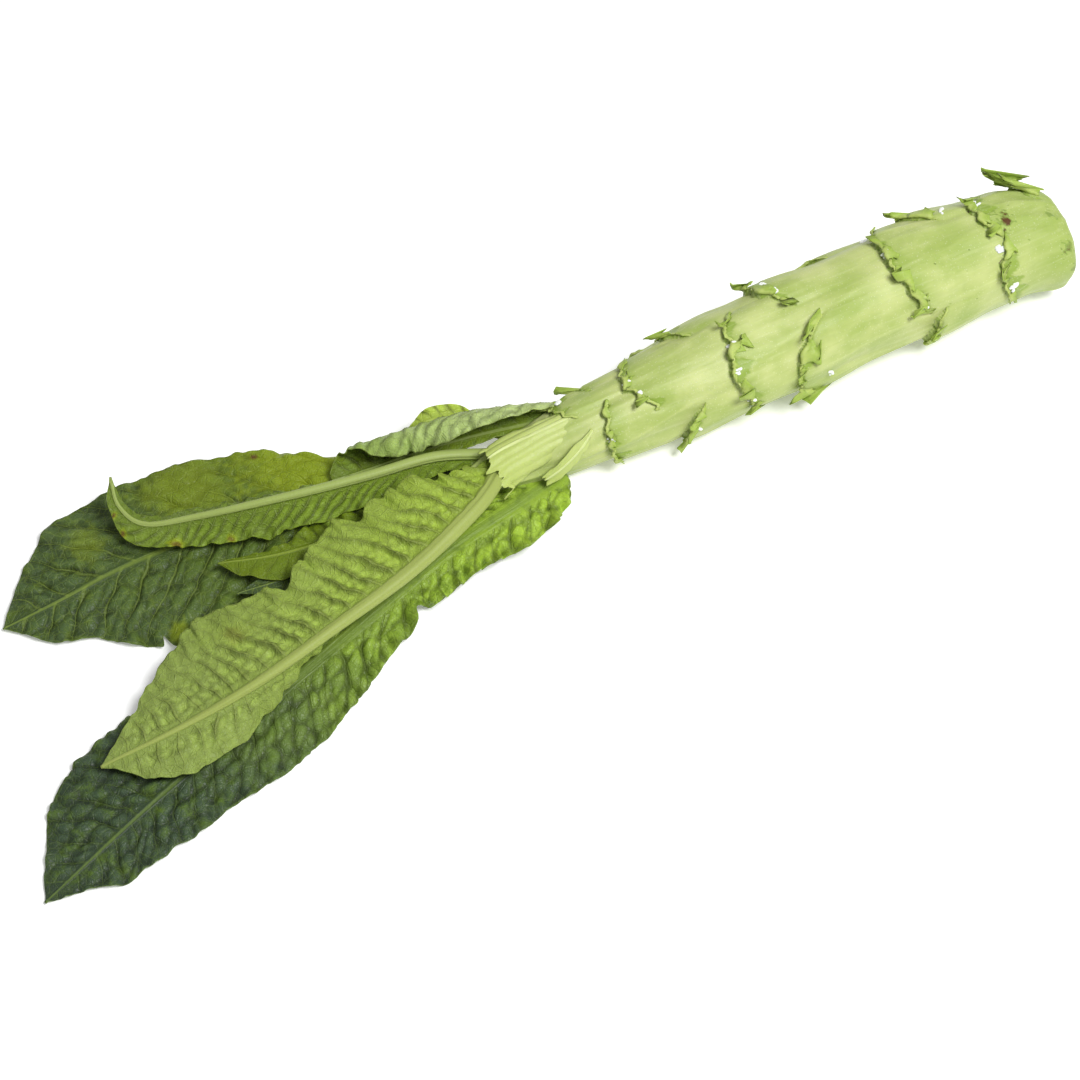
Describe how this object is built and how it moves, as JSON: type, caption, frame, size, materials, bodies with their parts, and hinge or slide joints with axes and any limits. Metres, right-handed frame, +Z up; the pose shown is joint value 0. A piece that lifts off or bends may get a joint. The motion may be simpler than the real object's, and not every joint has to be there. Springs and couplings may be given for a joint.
{
  "type": "celtuce",
  "caption": "Celtuce (stem lettuce) lying on its side: a thick pale green stem with torn leaf bases and a tuft of whole leaves at its narrow end.",
  "frame": {"origin": "middle of the bottom of the whole plant's box, on the surface it lies on", "axes": "+X along the stem towards its cut base, +Z up, away from the surface it lies on"},
  "size_m": [0.6084, 0.2008, 0.0639],
  "materials": {
    "stem_skin": "satin",
    "leaf_dark": "satin",
    "leaf_underside": "matte",
    "leaf_young": "satin",
    "leaf_base": "satin"
  },
  "bodies": {
    "root": {"stem": "stem_skin", "lower_front_leaf": "leaf_dark", "lower_back_leaf": "leaf_dark", "folded_leaf": "leaf_underside", "inner_leaf": "leaf_young", "small_inner_leaf": "leaf_young", "upper_front_leaf": "leaf_underside", "curled_back_leaf": "leaf_underside", "crest_leaf": "leaf_young", "torn_sheath": "leaf_base", "front_leaf_tongue": "leaf_base", "torn_leaf_base_01": "leaf_base", "torn_leaf_base_02": "leaf_base", "torn_leaf_base_03": "leaf_base", "torn_leaf_base_04": "leaf_base", "torn_leaf_base_05": "leaf_base", "torn_leaf_base_06": "leaf_base", "torn_leaf_base_07": "leaf_base", "torn_leaf_base_08": "leaf_base", "torn_leaf_base_09": "leaf_base", "torn_leaf_base_10": "leaf_base", "torn_leaf_base_11": "leaf_base", "torn_leaf_base_12": "leaf_base", "torn_leaf_base_13": "leaf_base", "torn_leaf_base_14": "leaf_base", "torn_leaf_base_15": "leaf_base", "torn_leaf_base_16": "leaf_base", "torn_leaf_base_17": "leaf_base"}
  },
  "joints": []
}
